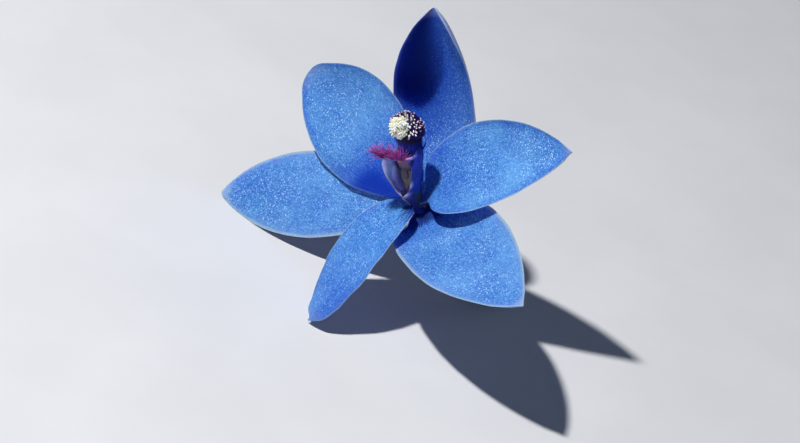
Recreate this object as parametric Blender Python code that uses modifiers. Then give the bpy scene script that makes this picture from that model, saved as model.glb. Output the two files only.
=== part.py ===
"""A picked sun orchid flower: six tepals round a winged column, with its ovary and a short stalk behind.

Metres in the world, +Z up, and the flower faces -Y and up. It lies on the labellum's tip, the left
sepal's tip and the end of the stalk, each with a small flat at Z = 0.
All shapes are worked out in millimetres in the flower's own frame: the heart is its origin, +Z is
where the flower faces, +Y goes to the dorsal sepal and +X to the right as one looks into it.
"""

import math
import random

import bmesh
import bpy
from mathutils import Euler, Matrix, Vector

MM = 0.001

# How the flower lies on the surface
LYING_DEG = (44.7, -19.6, 18.7)
HEART_PLACE = (-1.9, 0.1, 10.3)
FLOOR_CUT = 60.0

# Tepals
BLADE = 0.6
SEPAL_START = (1.9, -0.4)
PETAL_START = (1.7, 0.8)
TEPAL_ROWS = 18
TEPAL_COLUMNS = 8
# Each has its heading at the base and how far it turns by the tip, its rise at base, middle and tip,
# its twist and the half angle of its cupped section at base and tip, all in degrees. Widest is where
# along the length, full is how bluntly it tapers, and lopsided is how much wider the left half is.
TEPALS = {
    "dorsal_sepal": {
        "heading": 102.5, "turn": -28.5, "rise": (-16.5, 48.0, 74.5), "twist": (-15.5, 29.0),
        "cup": (-9.0, 87.0), "length": 21.5, "half_width": 5.2, "widest": 0.485, "full": 0.52,
        "lopsided": 0.11, "start": SEPAL_START, "base": 0.8, "tip": 0.0, "trim": 0.0,
    },
    "left_sepal": {
        "heading": 186.5, "turn": 13.5, "rise": (-0.5, 4.0, 12.5), "twist": (-12.5, -7.5),
        "cup": (6.0, 3.5), "length": 21.2, "half_width": 4.75, "widest": 0.53, "full": 0.77,
        "lopsided": -0.06, "start": SEPAL_START, "base": 0.8, "tip": 0.0, "trim": 0.0,
    },
    "right_sepal": {
        "heading": 334.5, "turn": 7.5, "rise": (9.0, 13.0, 20.5), "twist": (-14.0, -7.5),
        "cup": (25.0, 30.5), "length": 20.5, "half_width": 5.3, "widest": 0.36, "full": 0.84,
        "lopsided": 0.02, "start": SEPAL_START, "base": 0.8, "tip": 0.0, "trim": 0.0,
    },
    "left_petal": {
        "heading": 148.0, "turn": 7.0, "rise": (20.0, 16.0, 35.0), "twist": (-16.0, -40.5),
        "cup": (-6.0, 28.5), "length": 17.35, "half_width": 5.8, "widest": 0.56, "full": 0.64,
        "lopsided": -0.04, "start": PETAL_START, "base": 0.7, "tip": 0.0, "trim": 0.0,
    },
    "right_petal": {
        "heading": 41.5, "turn": -31.0, "rise": (4.0, 11.0, 18.0), "twist": (-5.0, 26.0),
        "cup": (28.5, 16.5), "length": 17.4, "half_width": 4.9, "widest": 0.32, "full": 0.9,
        "lopsided": 0.13, "start": PETAL_START, "base": 0.7, "tip": 0.0, "trim": 0.0,
    },
    "labellum": {
        "heading": 253.5, "turn": 9.0, "rise": (16.0, 4.0, -1.0), "twist": (10.5, 23.5),
        "cup": (32.0, -30.0), "length": 14.9, "half_width": 4.1, "widest": 0.5, "full": 0.48,
        "lopsided": -0.08, "start": (0.7, 1.0), "base": 0.9, "tip": 0.75, "trim": 0.04,
    },
}

# Column. Its own frame has +Z along it, +X as the flower's, and -Y on its open front.
COLUMN_LEAN_DEG = 31.0
WALL = 0.6
WALL_ROWS = 20
WALL_COLUMNS = 16
BACK_SHARE = 0.6
# Height, centre in front of the axis, half width, depth behind the centre, reach of the wings in
# front of it, and how far they close in front: 0 is straight ahead and 1 is meeting.
WALL_SECTIONS = (
    (1.0, 0.1, 0.65, 0.65, 0.7, 0.75),
    (2.4, 0.45, 1.05, 0.9, 1.2, 0.75),
    (4.0, 0.55, 1.55, 1.05, 1.3, 0.4),
    (5.6, 0.45, 1.7, 1.0, 1.5, 0.05),
    (6.5, 0.15, 1.45, 0.8, 1.4, 0.0),
    (7.2, -0.15, 1.1, 0.65, 0.2, 0.0),
    (8.8, -0.35, 1.2, 0.65, 0.2, 0.0),
)
FOOT_RADII = (0.75, 0.85)
FOOT_HEIGHTS = (0.15, 2.0)
STIGMA_PLACE = (0.0, -0.35, 4.3)
STIGMA_SIZE = (1.35, 0.65, 1.9)
HOOD_PLACE = (0.0, 0.45, 9.3)
HOOD_SIZE = (1.85, 1.25, 1.3)
ARM_FROM = (1.6, -1.4, 6.1)
ARM_TO = (1.45, -2.4, 6.9)
ARM_RADIUS = 0.32
BEADS = 34
BEAD_RADIUS = 0.15

# Crest of cream calli in front of the hood, clear of it
CREST_PLACE = (0.0, -1.0, 9.8)
CREST_SIZE = (1.2, 0.9, 1.15)
CREST_BUMPS = 110
CREST_BUMP_HEIGHT = 0.16
CREST_BUMP_WIDTH_DEG = 9.0
GAP = 0.3

# Brush tufts on the column's two arms
BRUSH_PLACE = (1.4, -2.85, 7.35)
BRUSH_CORE = 0.3
BRUSH_HAIRS = 26
BRUSH_HAIR_RADII = (0.13, 0.05)
LEFT_BRUSH_AIM = (-0.55, -0.45, 0.7)
RIGHT_BRUSH_AIM = (0.45, -0.1, 0.88)
BRUSH_LENGTH = (1.2, 1.7)
BRUSH_SPREAD_DEG = 50.0

# Ovary and stalk
STALK_START = (0.0, 0.0, -0.7)
STALK_BEND = (0.0, 0.0, -7.0)
STALK_END = (3.5, -1.5, -15.0)
STALK_RADII = ((0.0, 1.45), (0.1, 1.35), (0.35, 1.6), (0.58, 1.2), (0.7, 0.8), (1.0, 0.75))
STALK_ROWS = 22
STALK_SIDES = 24
RIBS = 6
RIB_DEPTH = 0.08
RIBS_END = 0.7


def blend(stations, at):
    """The values between the two stations that `at` lies in, eased from one to the next."""
    for low, high in zip(stations, stations[1:]):
        if at <= high[0]:
            share = max(0.0, (at - low[0]) / (high[0] - low[0]))
            share = share * share * (3 - 2 * share)
            return [a + (b - a) * share for a, b in zip(low[1:], high[1:])]
    return list(stations[-1][1:])


def material(name, colour, roughness):
    made = bpy.data.materials.new(name)
    made.use_nodes = True
    shader = made.node_tree.nodes["Principled BSDF"]
    shader.inputs["Base Color"].default_value = (*colour, 1.0)
    shader.inputs["Roughness"].default_value = roughness
    shader.inputs["Metallic"].default_value = 0.0
    return made


def mesh_object(name, bm, collection, parent=None, coat=None):
    """An object of this bmesh, which was made in millimetres."""
    bmesh.ops.recalc_face_normals(bm, faces=bm.faces)
    bm.transform(Matrix.Scale(MM, 4))
    mesh = bpy.data.meshes.new(name)
    bm.to_mesh(mesh)
    bm.free()
    made = bpy.data.objects.new(name, mesh)
    collection.objects.link(made)
    made.parent = parent
    if coat:
        mesh.materials.append(coat)
    return made


def sheet(rows, columns, place):
    """A grid whose points are put where place(along, across) says, along in 0 to 1, across in -1 to 1."""
    bm = bmesh.new()
    bmesh.ops.create_grid(bm, x_segments=rows, y_segments=columns, size=1.0)
    for vert in bm.verts:
        vert.co = place((vert.co.x + 1) / 2, vert.co.y)
    bmesh.ops.remove_doubles(bm, verts=bm.verts, dist=0.01)
    return bm


def closed_tube(rows, sides, place):
    """A sheet bent round until its sides meet, with both ends filled."""
    bm = sheet(rows, sides, lambda along, across: place(along, across * math.pi))
    bmesh.ops.holes_fill(bm, edges=[edge for edge in bm.edges if edge.is_boundary])
    return bm


def thicken(made, thickness):
    """Both faces of a waved sheet get the same triangles, so they can't cross."""
    made.modifiers.new("same triangles", "TRIANGULATE")
    solid = made.modifiers.new("thickness", "SOLIDIFY")
    solid.thickness = thickness * MM
    solid.offset = 0.0


def unite(made, others):
    """Joins the objects of a collection to one object, and removes them."""
    join = made.modifiers.new("join", "BOOLEAN")
    join.operation = "UNION"
    join.operand_type = "COLLECTION"
    join.collection = others
    join.solver = "EXACT"
    apply_modifiers(made)
    for other in list(others.objects):
        bpy.data.objects.remove(other)
    bpy.data.collections.remove(others)


def apply_modifiers(made):
    graph = bpy.context.evaluated_depsgraph_get()
    mesh = bpy.data.meshes.new_from_object(made.evaluated_get(graph))
    made.modifiers.clear()
    made.data = mesh


def cut(made, cutter):
    difference = made.modifiers.new("cut", "BOOLEAN")
    difference.operation = "DIFFERENCE"
    difference.object = cutter
    difference.solver = "EXACT"


def three_point(values, along):
    """A smooth run through values given at the base, the middle and the tip."""
    base, middle, tip = values
    return base * (1 - along) * (1 - 2 * along) + 4 * middle * along * (1 - along) + tip * along * (2 * along - 1)


def half_width(shape, along):
    rising = shape["full"] * shape["widest"] / (1 - shape["widest"])
    inside = min(max(along, 1e-6), 1.0)
    highest = shape["widest"] ** rising * (1 - shape["widest"]) ** shape["full"]
    body = shape["half_width"] * inside**rising * (1 - inside) ** shape["full"] / highest
    return body + shape["base"] * (1 - along) ** 8 + shape["tip"] * along**16


def midrib(shape, steps=60):
    """Points along a tepal's middle, with the direction, the side and the normal at each."""
    radius, height = shape["start"]
    point = None
    stations = []
    for step in range(steps + 1):
        along = step / steps
        heading = math.radians(shape["heading"] + shape["turn"] * along)
        rise = math.radians(three_point(shape["rise"], along))
        twist = math.radians(shape["twist"][0] + (shape["twist"][1] - shape["twist"][0]) * along)
        outward = Vector((math.cos(heading), math.sin(heading), 0.0))
        sideways = Vector((-math.sin(heading), math.cos(heading), 0.0))
        ahead = outward * math.cos(rise) + Vector((0.0, 0.0, math.sin(rise)))
        facing = ahead.cross(sideways)
        side = sideways * math.cos(twist) + facing * math.sin(twist)
        normal = facing * math.cos(twist) - sideways * math.sin(twist)
        if point is None:
            point = outward * radius + Vector((0.0, 0.0, height))
        else:
            point = point + (ahead + stations[-1][1]) * (shape["length"] / steps / 2)
        stations.append((point, ahead, side, normal))
    return stations


def tepal(name, collection, parent, coat):
    shape = TEPALS[name]
    stations = midrib(shape)

    def place(share, across):
        along = shape["trim"] + (1 - shape["trim"]) * share
        at = along * (len(stations) - 1)
        low = min(int(at), len(stations) - 2)
        point, _, side, normal = (a.lerp(b, at - low) for a, b in zip(stations[low], stations[low + 1]))
        wide = half_width(shape, along) * (1 + shape["lopsided"] * max(-1.0, min(1.0, 2 * across)))
        bend = math.radians(shape["cup"][0] + (shape["cup"][1] - shape["cup"][0]) * along)
        bend = bend if abs(bend) > 0.001 else 0.001
        swing = wide * math.sin(bend * across) / bend
        lift = wide * (1 - math.cos(bend * across)) / bend
        return point + side * swing + normal * lift

    made = mesh_object(name, sheet(TEPAL_ROWS, TEPAL_COLUMNS, place), collection, parent, coat)
    thicken(made, BLADE)
    return made


def ball(place, size, subdivisions=3):
    bm = bmesh.new()
    bmesh.ops.create_icosphere(bm, subdivisions=subdivisions, radius=1.0)
    bmesh.ops.scale(bm, vec=size, verts=bm.verts)
    bmesh.ops.translate(bm, vec=place, verts=bm.verts)
    return bm


def rod(start, end, radii, sides=8):
    """A straight round rod between two points, with its radius at each."""
    start, end = Vector(start), Vector(end)
    run = end - start
    bm = bmesh.new()
    bmesh.ops.create_cone(
        bm, cap_ends=True, segments=sides, radius1=radii[0], radius2=radii[1], depth=run.length
    )
    turn = Vector((0.0, 0.0, 1.0)).rotation_difference(run).to_matrix().to_4x4()
    bm.transform(Matrix.Translation((start + end) / 2) @ turn)
    return bm


def spread_points(count):
    """Directions spaced evenly over a sphere."""
    golden = math.pi * (3 - math.sqrt(5))
    for index in range(count):
        height = 1 - 2 * (index + 0.5) / count
        ring = math.sqrt(1 - height * height)
        yield Vector((ring * math.cos(golden * index), ring * math.sin(golden * index), height))


def column_wall():
    """The column's back and its two wings, one sheet that leaves the front open."""
    low, high = WALL_SECTIONS[0][0], WALL_SECTIONS[-1][0]

    def place(along, across):
        height = low + (high - low) * along
        forward, wide, deep, reach, closing = blend(WALL_SECTIONS, height)
        turn = min(abs(across) / BACK_SHARE, 1.0) * math.pi / 2
        wing = max(0.0, (abs(across) - BACK_SHARE) / (1 - BACK_SHARE))
        x = math.copysign(wide * math.sin(turn) * (1 - closing * wing * wing), across)
        return Vector((x, -forward + deep * math.cos(turn) - reach * wing, height))

    return sheet(WALL_ROWS, WALL_COLUMNS, place)


def column(collection, parent, coat):
    """Foot, winged wall, stigma, hood and arms are one piece in the flower, so they are one solid."""
    made = mesh_object("column", rod((0, 0, FOOT_HEIGHTS[0]), (0, 0, FOOT_HEIGHTS[1]), FOOT_RADII, 16),
                       collection, parent, coat)
    joined = bpy.data.collections.new("column pieces")
    bpy.context.scene.collection.children.link(joined)
    wall = mesh_object("wall", column_wall(), joined, parent)
    thicken(wall, WALL)
    bpy.context.view_layer.update()
    apply_modifiers(wall)
    mesh_object("stigma", ball(STIGMA_PLACE, STIGMA_SIZE), joined, parent)
    mesh_object("hood", ball(HOOD_PLACE, HOOD_SIZE), joined, parent)
    for side in (-1, 1):
        start = (side * ARM_FROM[0], *ARM_FROM[1:])
        end = (side * ARM_TO[0], *ARM_TO[1:])
        mesh_object("arm", rod(start, end, (ARM_RADIUS, ARM_RADIUS)), joined, parent)
    for index, way in enumerate(spread_points(2 * BEADS)):
        if way.z > 0.1 and way.y > -0.35:
            spot = Vector(HOOD_PLACE) + Vector([w * s for w, s in zip(way, HOOD_SIZE)])
            mesh_object(f"bead {index}", ball(spot, (BEAD_RADIUS,) * 3, 1), joined, parent)
    bpy.context.view_layer.update()
    unite(made, joined)
    return made


def crest(collection, parent, coat, cutters):
    """The crowded calli: a ball whose surface is raised into rounded heads, hollowed to clear the hood."""
    heads = list(spread_points(CREST_BUMPS))
    bm = ball((0, 0, 0), (1, 1, 1), 5)
    width = math.radians(CREST_BUMP_WIDTH_DEG)
    for vert in bm.verts:
        way = vert.co.normalized()
        nearest = min(way.angle(head) for head in heads)
        raised = CREST_BUMP_HEIGHT * math.sqrt(max(0.0, 1 - (nearest / width) ** 2))
        vert.co = Vector([w * (s - CREST_BUMP_HEIGHT + raised) for w, s in zip(way, CREST_SIZE)])
    bmesh.ops.translate(bm, vec=CREST_PLACE, verts=bm.verts)
    made = mesh_object("calli_crest", bm, collection, parent, coat)
    clearance = ball(HOOD_PLACE, [size + GAP for size in HOOD_SIZE], 4)
    cutter = mesh_object("hood clearance", clearance, cutters, parent)
    cutter.hide_render = True
    cutter.display_type = "WIRE"
    cut(made, cutter)
    return made


def brush(name, side, aim, collection, parent, coat):
    """A tuft of stiff hairs that spread from the end of one arm."""
    draw = random.Random(name)
    root = Vector((side * BRUSH_PLACE[0], *BRUSH_PLACE[1:]))
    aim = Vector(aim).normalized()
    made = mesh_object(name, ball(root, (BRUSH_CORE,) * 3, 2), collection, parent, coat)
    joined = bpy.data.collections.new(name + " hairs")
    bpy.context.scene.collection.children.link(joined)
    least = math.cos(math.radians(BRUSH_SPREAD_DEG))
    ways = [way for way in spread_points(round(2 * BRUSH_HAIRS / (1 - least))) if way.z > least]
    turn = Vector((0.0, 0.0, 1.0)).rotation_difference(aim)
    for index, way in enumerate(ways):
        hair = rod(root, root + turn @ way * draw.uniform(*BRUSH_LENGTH), BRUSH_HAIR_RADII, 4)
        mesh_object(f"hair {index}", hair, joined, parent)
    bpy.context.view_layer.update()
    unite(made, joined)
    return made


def ovary_and_stalk(collection, parent, coat):
    """The ribbed ovary that carries every tepal and the column, running into its cut stalk."""
    start, bend, end = Vector(STALK_START), Vector(STALK_BEND), Vector(STALK_END)

    def place(along, angle):
        middle = start.lerp(bend, along).lerp(bend.lerp(end, along), along)
        ahead = (bend - start).lerp(end - bend, along).normalized()
        right = ahead.cross(Vector((0.0, 1.0, 0.0))).normalized()
        radius = blend(STALK_RADII, along)[0]
        ribbed = max(0.0, 1 - along / RIBS_END) * min(1.0, along * 8)
        radius *= 1 + RIB_DEPTH * ribbed * math.cos(RIBS * angle)
        return middle + (right * math.cos(angle) + right.cross(ahead) * math.sin(angle)) * radius

    return mesh_object("ovary_and_stalk", closed_tube(STALK_ROWS, STALK_SIDES, place), collection, parent, coat)


def main():
    for old in list(bpy.data.objects):
        bpy.data.objects.remove(old)
    flower = bpy.data.collections.new("sun_orchid_flower")
    cutters = bpy.data.collections.new("cutters")
    bpy.context.scene.collection.children.link(flower)
    bpy.context.scene.collection.children.link(cutters)

    heart = bpy.data.objects.new("flower frame", None)
    flower.objects.link(heart)
    heart.location = Vector(HEART_PLACE) * MM
    heart.rotation_euler = Euler([math.radians(angle) for angle in LYING_DEG])
    column_frame = bpy.data.objects.new("column frame", None)
    flower.objects.link(column_frame)
    column_frame.parent = heart
    column_frame.rotation_euler = (math.radians(-COLUMN_LEAN_DEG), 0.0, 0.0)
    bpy.context.view_layer.update()

    blue = material("blue petal", (0.06, 0.16, 0.68), 0.5)
    pale_blue = material("paler blue sepal", (0.09, 0.20, 0.70), 0.5)
    violet = material("deep violet", (0.03, 0.02, 0.25), 0.4)
    cream = material("cream", (0.85, 0.80, 0.58), 0.6)
    magenta = material("magenta", (0.55, 0.10, 0.40), 0.6)
    green = material("olive green", (0.10, 0.13, 0.05), 0.5)

    for name in TEPALS:
        tepal(name, flower, heart, pale_blue if name.endswith("sepal") else blue)
    column(flower, column_frame, violet)
    crest(flower, column_frame, cream, cutters)
    brush("left_brush", -1, LEFT_BRUSH_AIM, flower, column_frame, magenta)
    brush("right_brush", 1, RIGHT_BRUSH_AIM, flower, column_frame, magenta)
    ovary_and_stalk(flower, heart, green)

    bpy.ops.mesh.primitive_cube_add(size=FLOOR_CUT * MM, location=(0.0, 0.0, -FLOOR_CUT * MM / 2))
    floor = bpy.context.active_object
    floor.name = "floor cut"
    floor.hide_render = True
    floor.display_type = "WIRE"
    for holder in list(floor.users_collection):
        holder.objects.unlink(floor)
    cutters.objects.link(floor)
    for name in ("labellum", "left_sepal", "ovary_and_stalk"):
        cut(bpy.data.objects[name], floor)


main()
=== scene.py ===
import functools
import math
import random

import bmesh
import bpy
from mathutils import Euler, Matrix, Vector, noise


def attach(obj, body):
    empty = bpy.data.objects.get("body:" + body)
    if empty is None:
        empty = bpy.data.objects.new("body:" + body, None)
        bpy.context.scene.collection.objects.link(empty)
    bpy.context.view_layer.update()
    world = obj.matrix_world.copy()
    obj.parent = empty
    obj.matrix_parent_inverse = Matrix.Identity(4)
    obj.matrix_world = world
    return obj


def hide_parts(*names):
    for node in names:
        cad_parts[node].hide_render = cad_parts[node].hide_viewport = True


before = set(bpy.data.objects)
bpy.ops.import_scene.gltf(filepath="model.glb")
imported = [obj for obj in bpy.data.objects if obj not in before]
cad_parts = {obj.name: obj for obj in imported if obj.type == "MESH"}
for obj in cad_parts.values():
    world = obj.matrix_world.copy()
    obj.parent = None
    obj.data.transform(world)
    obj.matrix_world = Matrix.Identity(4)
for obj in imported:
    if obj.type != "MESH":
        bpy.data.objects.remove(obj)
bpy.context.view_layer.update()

# Ovary and stalk. A six-ribbed fleshy ovary behind the flower, olive green with a purple flush, narrowing
# to a short stalk that was snapped off. It is all one growth, and everything else sits on its upper end.
# Sizes are in millimetres, in the flower's own frame: its heart is the origin, and it faces along +Z.
MM = 0.001
UP = Vector((0.0, 0.0, 1.0))
HEART = Vector((-1.9, 0.1, 10.3))
LEANS = [math.radians(degrees) for degrees in (44.7, -19.6, 18.7)]
FLOWER = Matrix.Translation(HEART) @ Euler(LEANS).to_matrix().to_4x4()
STALK = (UP * -0.7, UP * -7.0, Vector((3.5, -1.5, -15.0)))
STALK_RADII = ((0.0, 1.45), (0.1, 1.35), (0.35, 1.6), (0.58, 1.2), (0.7, 0.8), (1.0, 0.75))
RIBS, RIB_DEPTH = 6, 0.11
# Shares of its length: where its ribs are full, where they end, and where the painted shade on its top fades
RIBS_FULL, RIBS_END = 0.125, 0.72
TOP_SHADE_FADES = (0.14, 0.34)
RIND, PITH_EDGE, PITH_DEPTH = 0.13, 0.12, 0.09
# Points nearer than this are merged where a skin closes
WELD = 0.004
STEM_CELL, STEM_PAINTED_GLINT_SHARE = 0.11, 0.04


@functools.lru_cache(maxsize=None)
def eased(stations, at):
    """Values at a place between stations, in a smooth run that never swings past them."""
    at = min(max(at, stations[0][0]), stations[-1][0])
    low = next(index for index, high in enumerate(stations[1:]) if at <= high[0])
    start, end = stations[low], stations[low + 1]
    gap = end[0] - start[0]
    share = (at - start[0]) / gap
    values = []
    for column in range(1, len(start)):
        slopes = [(b[column] - a[column]) / (b[0] - a[0]) for a, b in zip(stations, stations[1:])]
        this = slopes[low]
        leaving, arriving = (
            2 * this * beside / (this + beside) if this * beside > 0 else 0.0
            for beside in (slopes[max(low - 1, 0)], slopes[min(low + 1, len(slopes) - 1)])
        )
        level = start[column] * (1 + 2 * share) * (1 - share) ** 2 + end[column] * share**2 * (3 - 2 * share)
        values.append(level + gap * share * (1 - share) * (leaving * (1 - share) - arriving * share))
    return values


def smooth_step(low, high, at):
    share = min(1.0, max(0.0, (at - low) / (high - low)))
    return share * share * (3 - 2 * share)


def bell(off, width):
    """1 at no distance off, falling away on both sides over this width."""
    return math.exp(-((off / width) ** 2))


def uneven(*place):
    """A smooth random value from -1 to 1, the same each time for a place."""
    return noise.noise(Vector(place))


def on_bend(points, share):
    """Place and direction on a curve from the first point to the last, drawn towards the middle one."""
    first, middle, last = points
    place = first.lerp(middle, share).lerp(middle.lerp(last, share), share)
    return place, (middle - first).lerp(last - middle, share).normalized()


def fill_holes(bm):
    bmesh.ops.holes_fill(bm, edges=[edge for edge in bm.edges if edge.is_boundary])


def rolled_grid(rows, round_it, place_on, marks=()):
    """A grid rolled into a closed skin. place_on(share, turn, marked) puts each point and fills its marks."""
    bm = bmesh.new()
    layers = {mark: bm.verts.layers.float.new(mark) for mark in marks}
    bmesh.ops.create_grid(bm, x_segments=rows, y_segments=round_it, size=1.0)
    for vert in bm.verts:
        marked = {}
        vert.co = place_on((vert.co.x + 1) / 2, vert.co.y * math.pi, marked)
        for mark, value in marked.items():
            vert[layers[mark]] = value
    bmesh.ops.remove_doubles(bm, verts=bm.verts, dist=WELD)
    fill_holes(bm)
    return bm


def in_scene(name, data):
    thing = bpy.data.objects.new(name, data)
    bpy.context.scene.collection.objects.link(thing)
    return thing


def body_of(name, bm, coat):
    mesh = bpy.data.meshes.new(name)
    bm.to_mesh(mesh)
    bm.free()
    mesh.materials.append(coat)
    return in_scene(name, mesh)


def grown(name, bm, coat, slot, *nodes):
    """The finished piece from a bmesh in millimetres of the world, smooth, in place of its CAD nodes."""
    bmesh.ops.recalc_face_normals(bm, faces=bm.faces)
    for face in bm.faces:
        face.smooth = True
    bm.transform(Matrix.Scale(MM, 4))
    piece = body_of(name, bm, coat)
    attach(piece, "root")
    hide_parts(*nodes)


def put(tree, kind, inputs=None, **settings):
    """A shader node with its settings, and each input set to a value or joined to another node's output."""
    made = tree.nodes.new(kind)
    for setting, value in settings.items():
        setattr(made, setting, value)
    for socket, value in (inputs or {}).items():
        if isinstance(value, bpy.types.NodeSocket):
            tree.links.new(value, made.inputs[socket])
        else:
            made.inputs[socket].default_value = value
    return made


def maths(tree, operation, first, second=0.0, clamp=False):
    return put(tree, "ShaderNodeMath", {0: first, 1: second}, operation=operation, use_clamp=clamp).outputs[0]


def times(tree, first, second, clamp=False):
    return maths(tree, "MULTIPLY", first, second, clamp)


def less(tree, first, second, clamp=False):
    return maths(tree, "SUBTRACT", first, second, clamp)


def spread(tree, value, low, high, to_low=0.0, to_high=1.0):
    """The value eased from to_low at low up to to_high at high."""
    inputs = {0: value, 1: low, 2: high, 3: to_low, 4: to_high}
    return put(tree, "ShaderNodeMapRange", inputs, interpolation_type="SMOOTHSTEP").outputs[0]


def tinted(tree, share, under, over):
    """One colour over another by a share, each a linear colour or an output."""
    colours = [c if isinstance(c, bpy.types.NodeSocket) else (*c, 1.0) for c in (under, over)]
    return put(tree, "ShaderNodeMix", {0: share, 6: colours[0], 7: colours[1]}, data_type="RGBA").outputs[2]


def mark_of(tree, name):
    return put(tree, "ShaderNodeAttribute", attribute_name=name).outputs["Fac"]


def place_in(tree):
    """Where a point of the object is, in metres."""
    return tree.nodes["place"].outputs["Object"]


def cloudy(tree, scale, detail, place=None):
    """Soft noise over the object, or over other coordinates."""
    inputs = {"Vector": place or place_in(tree), "Scale": scale, "Detail": detail}
    return put(tree, "ShaderNodeTexNoise", inputs).outputs["Fac"]


def mottled(tree, scale, detail, low, high, under, over, place=None):
    """Two colours in soft blotches: one where the noise is low, the other where it is high."""
    return tinted(tree, spread(tree, cloudy(tree, scale, detail, place), low, high), under, over)


def surface(tree):
    return tree.nodes["Principled BSDF"].inputs


def new_coat(name, roughness, specular=0.5):
    """A material and its node tree."""
    coat = bpy.data.materials.new(name)
    coat.use_nodes = True
    tree = coat.node_tree
    put(tree, "ShaderNodeTexCoord", name="place")
    surface(tree)["Roughness"].default_value = roughness
    surface(tree)["Specular IOR Level"].default_value = specular
    return coat, tree


def paint(tree, colour, relief, depth, strength=1.0):
    """Gives the surface its colour, and a relief that is this many millimetres deep."""
    tree.links.new(colour, surface(tree)["Base Color"])
    bump = put(tree, "ShaderNodeBump", {"Height": relief, "Distance": depth * MM, "Strength": strength})
    tree.links.new(bump.outputs["Normal"], surface(tree)["Normal"])


def make_skin_cells():
    """The outer cells of a petal or stem: tiny domes, of which some get a painted glint, a whitish spot
    painted as if they caught the light as grains of sugar do.
    """
    tree = bpy.data.node_groups.new("skin cells", "ShaderNodeTree")
    for label, kind in (("Place", "Vector"), ("Cells per metre", "Float"), ("Painted glint share", "Float")):
        tree.interface.new_socket(label, in_out="INPUT", socket_type="NodeSocket" + kind)
    for label in ("Grain", "Painted glint", "Domes"):
        tree.interface.new_socket(label, in_out="OUTPUT", socket_type="NodeSocketFloat")
    place, per_metre, painted_glint_share = tree.nodes.new("NodeGroupInput").outputs[:3]
    fine = put(tree, "ShaderNodeTexVoronoi", {"Vector": place, "Scale": per_metre})
    coarse = put(tree, "ShaderNodeTexVoronoi", {"Vector": place, "Scale": times(tree, per_metre, 0.6)})
    fine_tone = put(tree, "ShaderNodeSeparateColor", {0: fine.outputs["Color"]}).outputs[0]
    coarse_tone = put(tree, "ShaderNodeSeparateColor", {0: coarse.outputs["Color"]}).outputs[1]
    grain = maths(tree, "ADD", times(tree, fine_tone, 0.55), times(tree, coarse_tone, 0.45))
    # A cell gets a painted glint in its middle, if its random tone is among the highest
    rarity = less(tree, 1.0, painted_glint_share)
    glints = []
    for cells, tone, edge, middle, light in ((coarse, coarse_tone, 0.55, 0.15, 1.5),
                                             (fine, fine_tone, 0.6, 0.2, 1.1)):
        chosen = maths(tree, "POWER", spread(tree, tone, rarity, 1.0), 1.8)
        glints.append(times(tree, chosen, spread(tree, cells.outputs["Distance"], edge, middle, 0.0, light)))
    put(tree, "NodeGroupOutput", {"Grain": grain, "Painted glint": maths(tree, "MAXIMUM", *glints),
                                  "Domes": less(tree, 1.0, fine.outputs["Distance"])})
    return tree


skin_cells = make_skin_cells()


def cells_of(tree, size, painted_glint_share):
    """The skin cells at this size in millimetres, with the share of them that gets a painted glint."""
    inputs = {0: place_in(tree), 1: 1 / (size * MM), 2: painted_glint_share}
    return put(tree, "ShaderNodeGroup", inputs, node_tree=skin_cells).outputs


green_coat, tree = new_coat("ovary and stalk green", 0.42)
cells = cells_of(tree, STEM_CELL, STEM_PAINTED_GLINT_SHARE)
colour = mottled(tree, 900.0, 4.0, 0.3, 0.7, (0.052, 0.085, 0.018), (0.115, 0.155, 0.04))
colour = tinted(tree, spread(tree, mark_of(tree, "rib"), 0.3, 1.0), colour, (0.16, 0.19, 0.06))
purple_flush = spread(tree, cloudy(tree, 260.0, 3.0), 0.42, 0.68)
colour = tinted(tree, times(tree, purple_flush, 0.75), colour, (0.075, 0.03, 0.06))
colour = tinted(tree, spread(tree, mark_of(tree, "cut"), 0.2, 0.6), colour, (0.42, 0.45, 0.24))
colour = tinted(tree, times(tree, cells["Grain"], 0.35), colour, (0.20, 0.23, 0.10))
# Painted shade: the top of the ovary is painted dark indigo, as shade where it shows between the bases of the
# lip and the right sepal
colour = tinted(tree, mark_of(tree, "top"), colour, (0.008, 0.014, 0.16))
paint(tree, colour, maths(tree, "ADD", cells["Domes"], cloudy(tree, 1500.0, 3.0)), 0.03)


def stalk_point(share, turn, marked):
    middle, ahead = on_bend(STALK, share)
    right = ahead.cross(Vector((0.0, 1.0, 0.0))).normalized()
    ribbed = max(0.0, 1 - share / RIBS_END) * min(1.0, share / RIBS_FULL)
    ridge = math.cos(RIBS * turn)
    radius = eased(STALK_RADII, share)[0]
    radius *= 1 + RIB_DEPTH * ribbed * (ridge - 0.35 * math.cos(2 * RIBS * turn))
    radius *= 1 + 0.02 * uneven(2.5 * math.cos(turn), 2.5 * math.sin(turn), 14 * share)
    marked["rib"] = max(0.0, ridge) * min(1.0, ribbed * 2)
    marked["top"] = 1 - smooth_step(*TOP_SHADE_FADES, share)
    return FLOWER @ (middle + (right * math.cos(turn) + right.cross(ahead) * math.sin(turn)) * radius)


stalk = rolled_grid(110, 96, stalk_point, ("rib", "cut", "top"))
# Where it lies on the table it is cut level, and the snapped end has a rind round a sunken pith
bmesh.ops.bisect_plane(stalk, geom=stalk.verts[:] + stalk.edges[:] + stalk.faces[:], plane_co=(0, 0, 0),
                       plane_no=UP, clear_inner=True)
fill_holes(stalk)
end_face = min(stalk.faces, key=lambda face: (FLOWER.inverted() @ face.calc_center_median()).z)
bmesh.ops.inset_region(stalk, faces=[end_face], thickness=RIND, use_even_offset=True)
bmesh.ops.inset_region(stalk, faces=[end_face], thickness=PITH_EDGE, depth=-PITH_DEPTH, use_even_offset=True)
cut_mark = stalk.verts.layers.float["cut"]
for vert in end_face.verts:
    vert[cut_mark] = 1.0
grown("ribbed_ovary_and_stalk", stalk, green_coat, "stalk", "ovary_and_stalk")

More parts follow.
